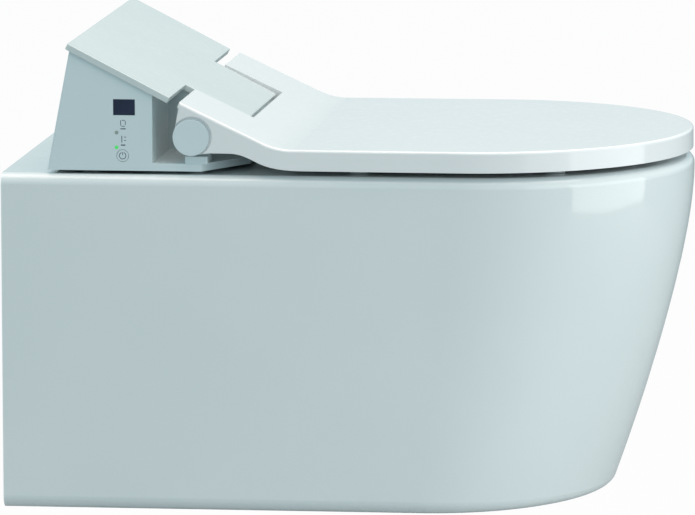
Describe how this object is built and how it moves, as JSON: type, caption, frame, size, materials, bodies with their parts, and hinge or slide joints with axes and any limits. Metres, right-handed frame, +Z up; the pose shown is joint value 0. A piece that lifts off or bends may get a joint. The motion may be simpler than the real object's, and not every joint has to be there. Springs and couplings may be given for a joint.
{
  "type": "wall hung toilet with shower seat",
  "caption": "Wall hung toilet with a smooth D-shaped ceramic skirt, a thin sloping lid and seat, and a wedge-shaped shower seat housing with side controls.",
  "frame": {"origin": "midway between the two stud holes, on the ceramic's back face, which lies on the finished wall", "axes": "+Z up, -Y to the front, away from the wall, X across; the side with the window and the power key is -X"},
  "size_m": [0.375, 0.5701, 0.3961],
  "materials": {
    "ceramic": "gloss glaze",
    "white_plastic": "gloss",
    "roof_white": "smooth gloss",
    "lid_white": "gloss",
    "seat_white": "gloss",
    "grey_plastic": "matte",
    "dark_window": "dark, gloss",
    "led_clear": "clear, unlit",
    "led_green": "lit",
    "symbol_grey": "matte",
    "board_green": "satin",
    "hinge_steel": "satin",
    "screw_steel": "satin",
    "damper_grey": "matte",
    "soft_pad": "soft, matte",
    "seal_rubber": "matte",
    "sleeve_plastic": "matte",
    "wand_white": "gloss",
    "inlet_metal": "plated, satin"
  },
  "bodies": {
    "bowl": {"ceramic_body": "ceramic", "stud_sleeves": "sleeve_plastic", "inlet_seal": "seal_rubber", "mounting_plate": "grey_plastic", "plate_bolts": "screw_steel", "plate_bushes": "seal_rubber", "plate_nuts": "screw_steel"},
    "unit": {"base_plate": "grey_plastic", "base_screws": "screw_steel", "unit_feet": "soft_pad", "housing_shell": "white_plastic", "roof_plate": "roof_white", "receiver_window": "dark_window", "led_upper": "led_clear", "led_lower": "led_green", "control_board": "board_green", "hinge_posts": "white_plastic", "hinge_dampers": "damper_grey", "wand_guide": "grey_plastic", "water_heater": "grey_plastic", "pump": "damper_grey", "valve_block": "sleeve_plastic", "water_inlet": "inlet_metal", "cable_gland": "grey_plastic"},
    "seat": {"seat_ring": "seat_white", "seat_pads": "soft_pad", "seat_shaft": "hinge_steel"},
    "lid": {"lid_cover": "lid_white", "hinge_caps": "white_plastic", "lid_pads": "soft_pad", "lid_shaft": "hinge_steel"},
    "wand": {"wand_tube": "wand_white", "wand_head": "wand_white"},
    "power_key": {"power_key": "white_plastic", "power_symbol": "symbol_grey"}
  },
  "joints": [
    {"name": "unit_release", "type": "slide", "parent": "bowl", "child": "unit", "axis": [0, -1, 0], "range_m": [0, 0.03]},
    {"name": "seat_hinge", "type": "hinge", "parent": "unit", "child": "seat", "pos_m": [0, -0.162, 0.112], "axis": [1, 0, 0], "range_deg": [-97, 0]},
    {"name": "lid_hinge", "type": "hinge", "parent": "seat", "child": "lid", "pos_m": [0, -0.162, 0.112], "axis": [-1, 0, 0], "range_deg": [0, 102]},
    {"name": "wand_slide", "type": "slide", "parent": "unit", "child": "wand", "axis": [0, -0.8192, -0.5736], "range_m": [0, 0.105]},
    {"name": "power_press", "type": "slide", "parent": "unit", "child": "power_key", "axis": [1, 0, 0], "range_m": [0, 0.001], "stiffness_N_per_m": 600, "springref_m": -0.001}
  ]
}
